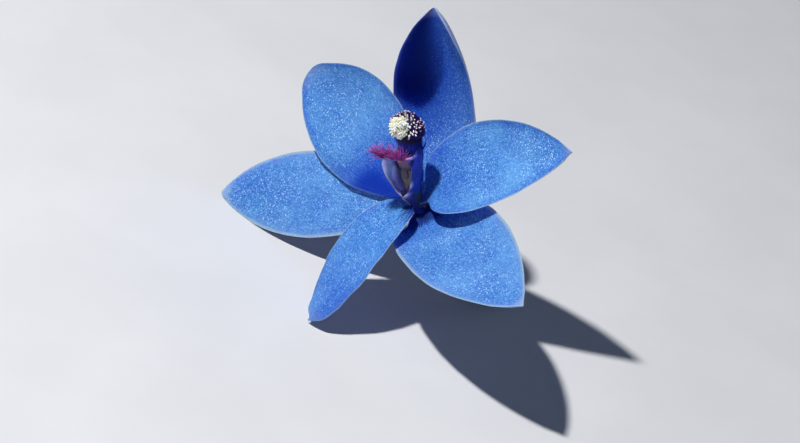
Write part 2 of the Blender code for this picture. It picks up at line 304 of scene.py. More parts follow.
# Receptacle. The dark dome on the ovary's top that every sepal, petal and the column grow from. It shows
# only as a deep indigo spot between their bases, with a few whitish cushions on it.
RECEPTACLE = ((-0.85, 1.3), (-0.6, 1.2), (-0.3, 0.85), (0.3, 0.6), (0.7, 0.5), (0.95, 0.02))


def height_at(sections, share):
    """The height at a share of the way from the first section to the last."""
    return sections[0][0] + (sections[-1][0] - sections[0][0]) * share


def receptacle_point(share, turn, marked):
    height = height_at(RECEPTACLE, share)
    x, y = math.cos(turn), math.sin(turn)
    radius = eased(RECEPTACLE, height)[0] * (1 + 0.05 * uneven(x * 3, y * 3, height * 2))
    return FLOWER @ Vector((radius * x, radius * y, height))


receptacle_coat, tree = new_coat("receptacle indigo", 0.4)
colour = mottled(tree, 900.0, 3.0, 0.35, 0.7, (0.002, 0.012, 0.22), (0.006, 0.030, 0.42))
colour = mottled(tree, 1500.0, 1.0, 0.68, 0.74, colour, (0.30, 0.30, 0.50))
paint(tree, colour, cloudy(tree, 2400.0, 3.0), 0.04)
grown("receptacle", rolled_grid(24, 48, receptacle_point), receptacle_coat, "stalk", "ovary_and_stalk")

# Three sepals, the outer whorl. Thin satiny blades of cornflower blue, paler and lilac behind, each cupped
# across and running to a small point. They grow from the ovary's rim behind the petals.
SEPAL_START = (1.9, -0.4)
BLADE_HALF = 0.17
TEPAL_ROWS, TEPAL_ROUND = 132, 104
MIDRIB_STEPS, SECTION_STEPS = 90, 24
# Each blade runs on inward as a short claw on the receptacle, which takes this share of its rows. A
# sepal's claw rises by this much on its way in.
CLAW_SHARE, CLAW_RISE = 0.045, 0.3
# A point narrows over this length. A blunt tip is rounded over that one, and every tip thins over it.
POINT_LENGTH, TIP_LENGTH = 0.8, 0.9
# Above 1, rows stand closer towards the tip
ROW_CROWDING = 1.3
# Heights of a blade's wave, its margins' wave, its pleats, its groove and its keel, half widths of the last
# two, and how far its outline wavers as a share of its width
WAVE, MARGIN_WAVE, PLEAT, GROOVE, KEEL = 0.10, 0.13, 0.02, 0.09, 0.10
GROOVE_HALF, KEEL_HALF = 0.35, 0.5
OUTLINE_WAVERS = 0.012
# How far a blade that lies is pressed onto the table
PRESSED = 0.02
# Skin cell size in mm, and the share of cells that get a painted glint
PETAL_CELL, PETAL_PAINTED_GLINT_SHARE = 0.085, 0.22
TEPAL_MARKS = ("along", "across", "front", "edge", "to_tip", "fringe", "shade")
# Angles are in degrees. Heading is the way that a blade sets out, and turn its swing by the tip. Rise is at
# the base, the middle and the tip, twist and cup at the base and the tip. It is widest at that share of its
# length, and fuller towards the tip where full is lower. Lopsided makes its left side wider. Start is its
# distance from the flower's axis and its height, base and tip are extra half widths at the ends, and point
# narrows its last stretch. Rolls are how far its right and left margins roll in beyond the cup, and from
# where. Skew pushes one side of the tip ahead. Fringe scales the dark strokes at the heart. The painted
# shade key sets the painted shade, a deepening of its colour where the blade lies in shade: where it
# starts, where it is darkest, and by how much.
SEPALS = {
    "dorsal_sepal": {
        "heading": 102.5, "turn": -28.5, "rise": (-16.5, 48.0, 74.5), "twist": (-15.5, 29.0),
        "cup": (-9.0, 87.0), "length": 21.5, "half_width": 5.2, "widest": 0.485, "full": 0.52,
        "lopsided": 0.11, "start": SEPAL_START, "base": 0.8, "tip": 0.0, "point": 0.3, "skew": 0.0,
        "rolls": (0.0, 0.0, 0.6), "claw": 1.2, "fringe": 0.0, "shade": (-0.05, 0.6, 0.95),
    },
    "left_sepal": {
        "heading": 186.5, "turn": 13.5, "rise": (-0.5, 4.0, 12.5), "twist": (-12.5, -7.5),
        "cup": (6.0, 3.5), "length": 21.2, "half_width": 4.75, "widest": 0.53, "full": 0.77,
        "lopsided": -0.06, "start": SEPAL_START, "base": 0.8, "tip": 0.0, "point": 0.1, "skew": 0.0,
        "rolls": (8.0, 10.0, 0.3), "claw": 1.4, "fringe": 0.0, "shade": (0.25, 0.0, 0.4),
    },
    "right_sepal": {
        "heading": 334.5, "turn": 7.5, "rise": (9.0, 13.0, 20.5), "twist": (-14.0, -7.5),
        "cup": (25.0, 30.5), "length": 20.5, "half_width": 5.3, "widest": 0.36, "full": 0.84,
        "lopsided": 0.02, "start": SEPAL_START, "base": 2.4, "tip": 0.0, "point": 0.4, "skew": 0.0,
        "rolls": (6.0, 6.0, 0.3), "claw": 1.5, "fringe": 0.28, "shade": (0.22, 0.0, 0.4),
    },
}
SEPAL_BLUES = {
    "middle": (0.055, 0.202, 0.56), "paler": (0.13, 0.35, 0.72), "deep": (0.006, 0.055, 0.48),
    "painted_shadow_blue": (0.001, 0.004, 0.08), "margin": (0.19, 0.31, 0.70), "rim": (0.44, 0.55, 0.62),
}


def run_through(values, share):
    """A smooth run through values given at the base, the middle and the tip."""
    base, middle, tip = values
    other = 1 - share
    return base * other * (1 - 2 * share) + 4 * middle * share * other + tip * share * (2 * share - 1)


def blade_half_width(shape, along):
    full, widest = shape["full"], shape["widest"]
    rising = full * widest / (1 - widest)
    inside = min(max(along, 1e-6), 1.0)
    highest = widest**rising * (1 - widest) ** full
    wide = shape["half_width"] * inside**rising * (1 - inside) ** full / highest
    wide += shape["base"] * (1 - along) ** 8 + shape["tip"] * along**16
    left = (1 - along) * shape["length"]
    wide *= 1 - shape["point"] * bell(left, POINT_LENGTH)
    if shape["tip"] and left < TIP_LENGTH:
        wide *= math.sqrt(max(0.0, 1 - (1 - left / TIP_LENGTH) ** 2))
    return wide


def midrib_of(shape):
    """Points along a tepal's middle, with the direction, the side and the normal at each."""
    distance, height = shape["start"]
    stations = []
    for step in range(MIDRIB_STEPS + 1):
        along = step / MIDRIB_STEPS
        heading = math.radians(shape["heading"] + shape["turn"] * along)
        rise = math.radians(run_through(shape["rise"], along))
        twist = math.radians(shape["twist"][0] + (shape["twist"][1] - shape["twist"][0]) * along)
        outward = Vector((math.cos(heading), math.sin(heading), 0.0))
        sideways = Vector((-math.sin(heading), math.cos(heading), 0.0))
        ahead = outward * math.cos(rise) + UP * math.sin(rise)
        facing = ahead.cross(sideways)
        side = sideways * math.cos(twist) + facing * math.sin(twist)
        normal = facing * math.cos(twist) - sideways * math.sin(twist)
        if stations:
            point = point + (ahead + stations[-1][1]) * (shape["length"] / MIDRIB_STEPS / 2)
        else:
            point = outward * distance + UP * height
        stations.append((point, ahead, side, normal))
    return stations


def cross_section(cup, rolls):
    """How far out and up a blade's cross-section runs, and its slope, in steps to the right and the left."""
    sides = []
    for sign, roll in zip((-1, 1), rolls):
        swing = lift = 0.0
        run = [(0.0, 0.0, 0.0)]
        for step in range(1, SECTION_STEPS + 1):
            middle, end = (step - 0.5) / SECTION_STEPS, step / SECTION_STEPS
            angle = cup * middle + roll * middle**6
            swing += math.cos(angle) / SECTION_STEPS
            lift += math.sin(angle) / SECTION_STEPS
            run.append((sign * swing, lift, sign * (cup * end + roll * end**6)))
        sides.append(run)
    return sides


def tepal(node, shape, coat, slot, lies):
    """A sepal or petal in place of its node. One that lies is brought down to the table, most at its tip."""
    stations = midrib_of(shape)
    *rolls, roll_from = shape["rolls"]
    seed = shape["heading"]

    @functools.lru_cache(maxsize=None)
    def section(along):
        cup = math.radians(shape["cup"][0] + (shape["cup"][1] - shape["cup"][0]) * along)
        rolled = smooth_step(roll_from - 0.25, roll_from + 0.2, along)
        return cross_section(cup, [math.radians(roll) * rolled for roll in rolls])

    def point_on(share, turn, marked):
        inward = max(0.0, 1 - share / CLAW_SHARE)
        along = 1 - (1 - max(0.0, share - CLAW_SHARE) / (1 - CLAW_SHARE)) ** ROW_CROWDING
        across, front = math.cos(turn), math.sin(turn)
        at = along * MIDRIB_STEPS
        low = min(int(at), MIDRIB_STEPS - 1)
        point, ahead, side, normal = (a.lerp(b, at - low) for a, b in zip(stations[low], stations[low + 1]))
        claw_rise = CLAW_RISE if shape["start"][1] < 0 else 0.0
        point = point - (ahead * shape["claw"] - UP * claw_rise) * inward
        wide = blade_half_width(shape, along) * (1 + shape["lopsided"] * max(-1.0, min(1.0, 2 * across)))
        wide *= 1 - 0.5 * inward
        wide *= 1 + OUTLINE_WAVERS * uneven(along * 9, 3.0 * math.copysign(1, across), seed)
        run = section(along)[1 if across >= 0 else 0]
        step = min(abs(across) * SECTION_STEPS, SECTION_STEPS - 0.0001)
        near, far = run[int(step)], run[int(step) + 1]
        swing, lift, slope = (a + (b - a) * (step - int(step)) for a, b in zip(near, far))
        # Between its ends the blade waves, most at its margins, with faint pleats and a groove
        wave = WAVE * uneven(along * 5, across * 1.6, seed + 5)
        wave += MARGIN_WAVE * across * across * uneven(along * 8, across, seed + 9)
        wave += PLEAT * math.cos(across * 17) * (1 - along)
        wave -= GROOVE * bell(across * wide, GROOVE_HALF) * math.sqrt(1 - along)
        wave *= smooth_step(0.05, 0.35, along) * smooth_step(0.0, 0.12, 1 - along)
        spot = point + side * wide * swing + normal * (wide * lift + wave)
        spot += ahead * shape["skew"] * across * smooth_step(0.65, 1.0, along)
        out = normal * math.cos(slope) - side * math.sin(slope)
        left = (1 - along) * shape["length"]
        thick = BLADE_HALF * math.sqrt(min(1.0, left / TIP_LENGTH))
        if front < 0:
            thick += KEEL * bell(across * wide, KEEL_HALF) * (1 - along)
        # Painted shade: the blade's colour is deepened over a stretch of it where the blade lies in shade
        *painted_shade_run, most = shape["shade"]
        shade = most * smooth_step(*painted_shade_run, along)
        marked.update(
            along=along, across=across, front=front, edge=min((1 - abs(across)) * wide, left), to_tip=left,
            fringe=shape["fringe"] * (smooth_step(-0.5, 0.5, across) if shape["skew"] else 1.0),
            shade=shade * (0.55 + 0.45 * smooth_step(-0.6, 0.7, across)),
        )
        return FLOWER @ (spot + out * thick * front)

    blade = rolled_grid(TEPAL_ROWS, TEPAL_ROUND, point_on, TEPAL_MARKS)
    if lies:
        drop = max(0.0, min(vert.co.z for vert in blade.verts)) + PRESSED
        along = blade.verts.layers.float["along"]
        for vert in blade.verts:
            vert.co.z = max(0.0, vert.co.z - drop * vert[along] ** 2)
    grown(node + "_blade", blade, coat, slot, node)


def let_light_in(tree, weight, reach, scale):
    """Lets light scatter below the surface: how much, how far for red, green and blue, and the unit in mm."""
    for part, value in (("Weight", weight), ("Radius", reach), ("Scale", scale * MM)):
        surface(tree)["Subsurface " + part].default_value = value


def tepal_coat(name, blues, rim_width, tip_share):
    """The satin skin of a sepal or petal, with a rim this many mm wide, and a tip whitish by tip_share."""
    coat, tree = new_coat(name, 0.5, 0.08)
    along, across, front, edge, to_tip, fringe, shade = (mark_of(tree, mark) for mark in TEPAL_MARKS)
    cells = cells_of(tree, PETAL_CELL, PETAL_PAINTED_GLINT_SHARE)
    soft = cloudy(tree, 170.0, 3.0)
    patches = cloudy(tree, 420.0, 3.0)
    colour = tinted(tree, spread(tree, soft, 0.3, 0.72), blues["middle"], blues["paler"])
    colour = tinted(tree, spread(tree, patches, 0.5, 0.8, 0.0, 0.4), colour, blues["deep"])
    # Painted shade: the colour deepens where the blade lies in shade
    colour = tinted(tree, shade, colour, blues["deep"])
    # Veins run side by side from the base and fade towards the tip
    wander = times(tree, less(tree, cloudy(tree, 320.0, 2.0), 0.5), 2.4)
    lines = maths(tree, "COSINE", maths(tree, "ADD", times(tree, across, 62.0), wander))
    vein = times(tree, spread(tree, lines, 0.35, 1.0), spread(tree, along, 0.75, 0.05, 0.12, 1.0))
    colour = tinted(tree, times(tree, vein, 0.34), colour, blues["deep"])
    # The skin thins and pales to lilac near the margin
    ragged_edge = less(tree, edge, times(tree, patches, 1.1))
    colour = tinted(tree, spread(tree, ragged_edge, 0.8, -0.45, 0.0, 0.55), colour, blues["margin"])
    # Its cells are light and dark grains, fewer of them light in the painted shade
    light_grain = times(tree, spread(tree, cells["Grain"], 0.5, 0.85), less(tree, 0.9, shade))
    lightest = [min(1.0, 1.12 * value) for value in blues["paler"]]
    colour = tinted(tree, times(tree, light_grain, 0.95, True), colour, lightest)
    colour = tinted(tree, spread(tree, cells["Grain"], 0.5, 0.15, 0.0, 0.42), colour, blues["deep"])
    # Painted shadow: the darkest painted shade turns a nearly black blue
    colour = tinted(tree, spread(tree, shade, 0.72, 0.95, 0.0, 0.80), colour, blues["painted_shadow_blue"])
    # Painted glints: clusters of cells are painted a whitish blue, as if they sparkled like sugar, away from
    # the margin, the base and the painted shade
    clusters = spread(tree, cloudy(tree, 300.0, 3.0), 0.36, 0.62, 0.3, 1.0)
    inner = times(tree, spread(tree, edge, 0.15, 1.2), spread(tree, along, 0.02, 0.2))
    glint = times(tree, cells["Painted glint"], times(tree, clusters, inner))
    glint = times(tree, glint, less(tree, 1.0, times(tree, shade, 1.1), True), True)
    colour = tinted(tree, glint, colour, (0.72, 0.92, 1.0))
    # Dark blue strokes fringe the heart
    flow = put(tree, "ShaderNodeCombineXYZ", {0: times(tree, across, 30.0), 1: times(tree, along, 6.0)})
    jagged = cloudy(tree, 1.0, 3.0, flow.outputs[0])
    reach = times(tree, spread(tree, jagged, 0.34, 0.68, 0.02, 0.15), fringe)
    strokes = spread(tree, less(tree, reach, along), -0.004, 0.012)
    colour = tinted(tree, times(tree, strokes, 0.85), colour, (0.002, 0.010, 0.17))
    # The back is paler, with a dusty lilac cast, a keel and its veins showing more
    dusty = tinted(tree, spread(tree, soft, 0.3, 0.7), (0.24, 0.28, 0.62), (0.34, 0.38, 0.68))
    dusty = tinted(tree, times(tree, spread(tree, lines, 0.2, 1.0), 0.35), dusty, (0.12, 0.15, 0.50))
    keel = spread(tree, maths(tree, "ABSOLUTE", across), 0.2, 0.0, 0.0, 0.55)
    dusty = tinted(tree, keel, dusty, (0.20, 0.19, 0.40))
    dusty = tinted(tree, times(tree, cells["Grain"], 0.25), dusty, (0.46, 0.50, 0.80))
    colour = tinted(tree, spread(tree, front, -0.12, 0.12), dusty, colour)
    # The very edge is clear and whitish, and so is the tip, less so in the painted shade
    whitish = maths(tree, "MAXIMUM", spread(tree, edge, rim_width, 0.03, 0.0, 0.6),
                    spread(tree, to_tip, 1.6, 0.1, 0.0, tip_share))
    whitish = times(tree, whitish, less(tree, spread(tree, along, 0.02, 0.12), times(tree, shade, 0.6)))
    colour = tinted(tree, whitish, colour, blues["rim"])
    # The cells with painted glints are also smoother
    tree.links.new(spread(tree, cells["Painted glint"], 0.0, 1.0, 0.5, 0.28), surface(tree)["Roughness"])
    paint(tree, colour, maths(tree, "ADD", cells["Domes"], times(tree, vein, -0.9)), 0.03, 0.9)
    let_light_in(tree, 0.5, (0.05, 0.16, 1.0), 1.2)
    return coat


sepal_blue = tepal_coat("sepal blue", SEPAL_BLUES, 0.48, 0.6)
for node, shape in SEPALS.items():
    tepal(node, shape, sepal_blue, "sepal", node == "left_sepal")

# Two petals and the lip, the inner whorl, in front of the sepals. The same satiny skin, a little deeper
# blue. The lip is hardly different from a petal here: narrower, with a blunt end that turns back and down.
PETAL_START = (1.7, 0.8)
PETALS = {
    "left_petal": {
        "heading": 148.0, "turn": 7.0, "rise": (20.0, 16.0, 35.0), "twist": (-16.0, -40.5),
        "cup": (-6.0, 28.5), "length": 17.35, "half_width": 5.8, "widest": 0.56, "full": 0.64,
        "lopsided": -0.04, "start": PETAL_START, "base": 0.7, "tip": 0.0, "point": -0.25, "skew": 0.0,
        "rolls": (8.0, 6.0, 0.4), "claw": 1.2, "fringe": 0.0, "shade": (0.62, 0.2, 0.95),
    },
    "right_petal": {
        "heading": 41.5, "turn": -31.0, "rise": (4.0, 11.0, 18.0), "twist": (-5.0, 26.0),
        "cup": (28.5, 16.5), "length": 17.4, "half_width": 4.9, "widest": 0.32, "full": 0.9,
        "lopsided": 0.13, "start": PETAL_START, "base": 0.7, "tip": 0.0, "point": 0.5, "skew": 0.0,
        "rolls": (4.0, 34.0, 0.45), "claw": 1.3, "fringe": 0.0, "shade": (0.45, 0.0, 0.5),
    },
    "labellum": {
        "heading": 253.5, "turn": 9.0, "rise": (16.0, 4.0, -1.0), "twist": (10.5, 23.5),
        "cup": (32.0, -30.0), "length": 14.9, "half_width": 4.1, "widest": 0.5, "full": 0.48,
        "lopsided": -0.08, "start": (0.7, 1.0), "base": 0.9, "tip": 0.75, "point": 0.0, "skew": 0.33,
        "rolls": (0.0, 0.0, 0.4), "claw": 0.4, "fringe": 1.3, "shade": (0.2, 0.85, 0.6),
    },
}
PETAL_BLUES = {
    "middle": (0.050, 0.212, 0.60), "paler": (0.135, 0.38, 0.77), "deep": (0.003, 0.043, 0.45),
    "painted_shadow_blue": (0.002, 0.030, 0.38), "margin": (0.06, 0.15, 0.58), "rim": (0.36, 0.47, 0.66),
}
petal_blue = tepal_coat("petal blue", PETAL_BLUES, 0.20, 0.35)
for node, shape in PETALS.items():
    tepal(node, shape, petal_blue, "petal", node == "labellum")

# The column's winged wall. One fleshy sheet wraps the back and both sides and leaves the front open, blue
# violet outside and pale lilac inside, the left wing's paleness partly a painted glow of light through it,
# with thick pale lips that meet low in front. It stands on the ovary.
# In the column's own frame it stands along +Z and opens to -Y.
COLUMN = FLOWER @ Matrix.Rotation(math.radians(-31.0), 4, "X")
WALL_HALF = 0.14
# Height, centre in front of the axis and depth behind it, then for the left and the right wing the half
# width, the reach in front and how far it closes, where 1 is meeting the other and less than 0 is flaring
WALL_SECTIONS = (
    (0.3, 0.05, 0.55, 0.60, 0.6, 0.90, 0.60, 0.6, 0.90),
    (1.3, 0.20, 0.65, 0.72, 1.1, 0.97, 0.66, 1.0, 0.97),
    (2.2, 0.45, 0.80, 0.95, 1.5, 0.97, 0.72, 1.4, 0.97),
    (2.7, 0.48, 0.85, 1.10, 1.5, 0.42, 0.85, 1.3, 0.42),
    (3.4, 0.50, 0.95, 1.25, 1.5, 0.05, 1.02, 1.1, 0.22),
    (4.3, 0.50, 1.00, 1.40, 1.55, -0.25, 1.26, 1.0, 0.18),
    (5.6, 0.42, 1.05, 1.50, 1.65, -0.35, 1.50, 0.95, 0.28),
    (6.3, 0.25, 0.95, 1.40, 1.5, -0.30, 1.43, 0.90, 0.62),
    (6.8, 0.00, 0.80, 1.20, 0.9, 0.0, 1.34, 0.72, 0.90),
    (7.2, -0.15, 0.65, 1.10, 0.3, 0.0, 1.22, 0.45, 1.0),
)
# Of the way round from the middle of the back to an edge, this share is back and side, and the rest wing
BACK_SHARE = 0.55
# The lips meet at this height, and the right one swells above that
LIPS_MEET, LIP_SWELLS = 2.45, 3.6


def wall_middle(sections, across):
    """A point in the middle of the wall's thickness, from -1 at the left edge to 1 at the right one."""
    height, forward, deep, *wings = sections
    wide, reach, closing = wings[3:] if across > 0 else wings[:3]
    bend = min(abs(across) / BACK_SHARE, 1.0) * math.pi / 2
    wing = max(0.0, (abs(across) - BACK_SHARE) / (1 - BACK_SHARE))
    x = math.copysign(wide * math.sin(bend) * (1 - closing * wing * wing), across)
    return Vector((x, -forward + deep * math.cos(bend) - reach * wing, height))


def wall_point(share, turn, marked):
    across, front = math.cos(turn), math.sin(turn)
    height = height_at(WALL_SECTIONS, share)
    here = (height, *eased(WALL_SECTIONS, height))
    swelling = bell(height - LIP_SWELLS, 0.38) * smooth_step(0.8, 0.97, across)
    join = bell(height - LIPS_MEET, 0.32) * smooth_step(0.75, 0.97, abs(across))
    # The right edge is a thick lip and the left one thins out
    lip = 1 + 0.9 * swelling + join + 0.3 * smooth_step(0.8, 1.0, across)
    lip -= 0.45 * smooth_step(0.6, 1.0, -across)
    along_section = wall_middle(here, min(1.0, across + 0.03)) - wall_middle(here, max(-1.0, across - 0.03))
    inward = along_section.cross(UP)
    inward = inward.normalized() if inward.length > 1e-6 else Vector((0.0, -1.0, 0.0))
    spot = wall_middle(here, across) + inward * WALL_HALF * lip * front
    spot += UP * 0.12 * uneven(across * 3, 0, 4) * smooth_step(0.9, 1.0, share)
    pale = max(swelling, join, 0.8 * smooth_step(0.9, 0.99, -across))
    marked.update(inside=front, height=height, side=across, pale=pale)
    return COLUMN @ spot


wall_coat, tree = new_coat("column wall", 0.34)
height, side = mark_of(tree, "height"), mark_of(tree, "side")
cells = cells_of(tree, 0.08, 0.03)
outer = mottled(tree, 500.0, 3.0, 0.35, 0.7, (0.006, 0.016, 0.30), (0.022, 0.044, 0.47))
olive_flank = spread(tree, maths(tree, "ABSOLUTE", less(tree, side, 0.48)), 0.34, 0.14)
foot = tinted(tree, olive_flank, (0.035, 0.025, 0.20), (0.060, 0.075, 0.035))
outer = tinted(tree, spread(tree, height, 2.9, 1.9), outer, foot)
outer = tinted(tree, spread(tree, height, 4.6, 6.4), outer, (0.004, 0.014, 0.32))
# Inside, the left wing is pale lilac-blue, partly its own colour and partly a painted glow of light shining
# through the thin wing. The right side inside is mauve brown, and the inside is darker lower down.
inner = tinted(tree, spread(tree, side, -0.52, -0.80), (0.13, 0.075, 0.19), (0.44, 0.57, 0.98))
inner = tinted(tree, spread(tree, side, 0.5, 0.8), inner, (0.22, 0.08, 0.05))
inner = tinted(tree, spread(tree, height, 5.0, 3.4, 0.0, 0.8), inner, (0.04, 0.04, 0.24))
colour = tinted(tree, spread(tree, mark_of(tree, "inside"), -0.15, 0.15), outer, inner)
colour = tinted(tree, times(tree, mark_of(tree, "pale"), 0.95), colour, (0.74, 0.68, 0.86))
colour = tinted(tree, times(tree, cells["Grain"], 0.2), colour, (0.10, 0.15, 0.72))
paint(tree, colour, cells["Domes"], 0.02)
let_light_in(tree, 0.45, (0.7, 0.6, 1.0), 0.6)
wall = rolled_grid(100, 132, wall_point, ("inside", "height", "side", "pale"))
grown("column_wall_and_wings", wall, wall_coat, "column", "column")

# Stigma and anther, held inside the wings. The stigma is a sticky olive-grey plate that tapers down to the
# lip of the wall, and the anther above it is a smooth mauve-brown boss.
# Place, size and tilt in degrees
STIGMA = ((-0.05, -0.6, 4.1), (0.98, 0.6, 1.95), -9.0)
ANTHER = ((0.02, -0.5, 5.6), (1.12, 0.85, 0.95), -8.0)


def unit_ball():
    ball = bmesh.new()
    bmesh.ops.create_icosphere(ball, subdivisions=5, radius=1.0)
    return ball


def held_inside(name, ball, coat, place, size, tilt):
    """A body inside the wings, from a ball: stretched, tilted and put in its place."""
    bmesh.ops.scale(ball, vec=size, verts=ball.verts)
    bmesh.ops.rotate(ball, matrix=Matrix.Rotation(math.radians(tilt), 3, "X"), verts=ball.verts)
    bmesh.ops.translate(ball, vec=place, verts=ball.verts)
    height = ball.verts.layers.float.new("height")
    for vert in ball.verts:
        vert[height] = vert.co.z
    ball.transform(COLUMN)
    grown(name, ball, coat, "column", "column")


stigma_coat, tree = new_coat("stigma olive grey", 0.22, 0.6)
height = mark_of(tree, "height")
colour = mottled(tree, 700.0, 4.0, 0.35, 0.65, (0.016, 0.018, 0.046), (0.046, 0.042, 0.064))
colour = tinted(tree, spread(tree, height, 4.4, 5.3), colour, (0.07, 0.032, 0.075))
colour = tinted(tree, spread(tree, height, 3.6, 2.4, 0.0, 0.7), colour, (0.17, 0.08, 0.17))
paint(tree, colour, cloudy(tree, 2200.0, 3.0), 0.04)
stigma = unit_ball()
for vert in stigma.verts:
    x, y, z = vert.co
    x *= 1 - 0.55 * smooth_step(0.2, -1.0, z)
    # A hollow is pressed into the middle of its front
    y += 0.55 * bell(x, 0.45) * bell(z - 0.05, 0.4) * smooth_step(0.3, -0.3, y)
    vert.co = (x, y, z)
held_inside("stigma_plate", stigma, stigma_coat, *STIGMA)

anther_coat, tree = new_coat("anther mauve brown", 0.4)
colour = mottled(tree, 600.0, 4.0, 0.35, 0.65, (0.042, 0.024, 0.085), (0.095, 0.042, 0.090))
paint(tree, colour, cloudy(tree, 2600.0, 3.0), 0.03)
held_inside("anther_boss", unit_ball(), anther_coat, *ANTHER)

# Body, neck and hood. Inside the wings the column is one solid stem. Above them it is a deep indigo neck,
# which swells to a dark purple hood with a ragged lower rim, a lobe at each side and a spur below each lobe.
BODY_SECTIONS = (
    # Height, how far behind the axis, half width left and right, half depth in front and behind
    (0.3, 0.10, 0.50, 0.50, 0.40, 0.50),
    (1.5, 0.05, 0.58, 0.62, 0.40, 0.60),
    (2.5, -0.05, 0.66, 0.72, 0.30, 0.70),
    (3.5, -0.10, 0.92, 1.06, 0.20, 0.85),
    (4.3, -0.10, 1.15, 1.18, 0.15, 0.95),
    (5.4, 0.00, 1.30, 1.36, 0.25, 1.00),
    (6.3, 0.15, 1.45, 1.42, 0.70, 1.00),
    (7.4, 0.30, 1.66, 1.36, 0.90, 0.90),
    (8.2, 0.34, 1.80, 1.45, 1.05, 0.95),
    (8.9, 0.36, 1.80, 1.62, 1.10, 1.05),
)
NECK_RIBS, NECK_RIB_DEPTH = 18, 0.012
HOOD_PLACE, HOOD_SIZE = Vector((-0.12, 0.32, 9.15)), Vector((1.92, 1.3, 1.46))
# The right spur's root, its bend and its end. The left one is its mirror image.
SPUR = ((1.2, 0.5, 6.75), (1.72, 0.55, 7.3), (2.0, 0.5, 8.1))


def body_point(share, turn, marked):
    height = height_at(BODY_SECTIONS, share)
    back, left, right, ahead, behind = eased(BODY_SECTIONS, height)
    x, y = math.cos(turn), math.sin(turn)
    ribbed = 1 + NECK_RIB_DEPTH * math.cos(NECK_RIBS * turn) * smooth_step(6.0, 7.0, height)
    marked.update(height=height, round=turn)
    wide, deep = (right if x > 0 else left), (behind if y > 0 else ahead)
    return COLUMN @ Vector((wide * ribbed * x, back + deep * ribbed * y, height))


def add_spine(bm, sides, foot, end, cuts):
    """A thin cone 1 high, cut across so that it can bend. Gives its points, with z from -0.5 to 0.5."""
    verts_before, edges_before = len(bm.verts), len(bm.edges)
    bmesh.ops.create_cone(bm, cap_ends=True, segments=sides, radius1=foot, radius2=end, depth=1.0)
    bm.edges.ensure_lookup_table()
    upright = [e for e in bm.edges[edges_before:] if abs(e.verts[0].co.z - e.verts[1].co.z) > 0.5]
    bmesh.ops.subdivide_edges(bm, edges=upright, cuts=cuts, use_grid_fill=True)
    bm.verts.ensure_lookup_table()
    return bm.verts[verts_before:]


neck_coat, tree = new_coat("neck indigo", 0.45, 0.12)
height, round_it = mark_of(tree, "height"), mark_of(tree, "round")
flow = put(tree, "ShaderNodeCombineXYZ", {0: times(tree, round_it, 7.0), 1: times(tree, height, 0.6)})
colour = mottled(tree, 1.0, 2.0, 0.35, 0.7, (0.003, 0.010, 0.24), (0.010, 0.034, 0.60), flow.outputs[0])
colour = tinted(tree, spread(tree, height, 7.1, 8.1), colour, (0.012, 0.003, 0.035))
paint(tree, colour, cloudy(tree, 2600.0, 3.0), 0.03)
body = rolled_grid(80, 84, body_point, ("height", "round"))
grown("column_body_and_neck", body, neck_coat, "column", "column")

hood_coat, tree = new_coat("hood dark purple", 0.4, 0.12)
colour = mottled(tree, 520.0, 4.0, 0.35, 0.7, (0.011, 0.002, 0.060), (0.034, 0.005, 0.120))
paint(tree, colour, cloudy(tree, 1900.0, 4.0), 0.06)
hood = unit_ball()
for vert in hood.verts:
    way = vert.co.normalized()
    low = smooth_step(0.1, -0.75, way.z)
    ragged = 0.045 * uneven(*(way * 5)) + 0.10 * low * abs(uneven(*(way * 4 + Vector((3, 1, 0)))))
    lobes = 0.10 * bell(way.z + 0.42, 0.24) * bell(way.y - 0.05, 0.35)
    size = 1 + ragged + lobes
    vert.co = HOOD_PLACE + Vector((way.x * size, way.y * size, way.z * (size - 0.18 * low))) * HOOD_SIZE
hood.transform(COLUMN)
grown("column_hood", hood, hood_coat, "column", "column")

spurs = bmesh.new()
for side in (-1, 1):
    bend = [Vector((side * x, y, z)) for x, y, z in SPUR]
    for vert in add_spine(spurs, 12, 0.16, 0.03, 9):
        middle = on_bend(bend, vert.co.z + 0.5)[0]
        vert.co = COLUMN @ (middle + Vector((vert.co.x * 0.8, vert.co.y * 1.2, 0)))
grown("hood_spurs", spurs, neck_coat, "column", "column")

# Arms. A short flat lobe runs forward from the top of each wing and carries the brush, pale lilac-pink
# along its lower edge. It is the same flesh as the wing.
ARMS = {
    # From the wing's top, its bend, its end, and half its height
    "left_arm": ((-1.55, -1.0, 6.0), (-1.75, -2.1, 6.5), (-1.25, -2.75, 7.0), 0.34),
    "right_arm": ((1.1, -1.0, 6.5), (1.15, -1.6, 6.7), (0.7, -2.05, 6.8), 0.16),
}
ARM_HALF, ARM_NARROWS = 0.18, 0.12


def arm(name, route, high):
    def point_on(share, turn, marked):
        middle, ahead = on_bend(route, share)
        up = (UP - ahead * ahead.z).normalized()
        tip = math.sqrt(max(0.0, 1 - smooth_step(0.72, 1.0, share) ** 2))
        middle = middle + ahead.cross(up) * ARM_HALF * tip * math.cos(turn)
        return COLUMN @ (middle + up * (high - ARM_NARROWS * share) * tip * math.sin(turn))

    grown(name, rolled_grid(28, 28, point_on), arm_coat, "column", "column")


arm_coat, tree = new_coat("arm lilac pink", 0.4)
colour = mottled(tree, 800.0, 3.0, 0.35, 0.7, (0.27, 0.14, 0.42), (0.52, 0.34, 0.62))
paint(tree, colour, cloudy(tree, 2600.0, 3.0), 0.03)
for name, (*route, high) in ARMS.items():
    arm(name, [Vector(point) for point in route], high)

# Calli. The hood is studded with small pinkish-white beads, and on its front they crowd into a cream crest
# of finger-like heads round a yellow-green hollow. Each is a soft outgrowth of the hood.
CREST_PLACE = Vector((0.14, -1.0, 9.78))
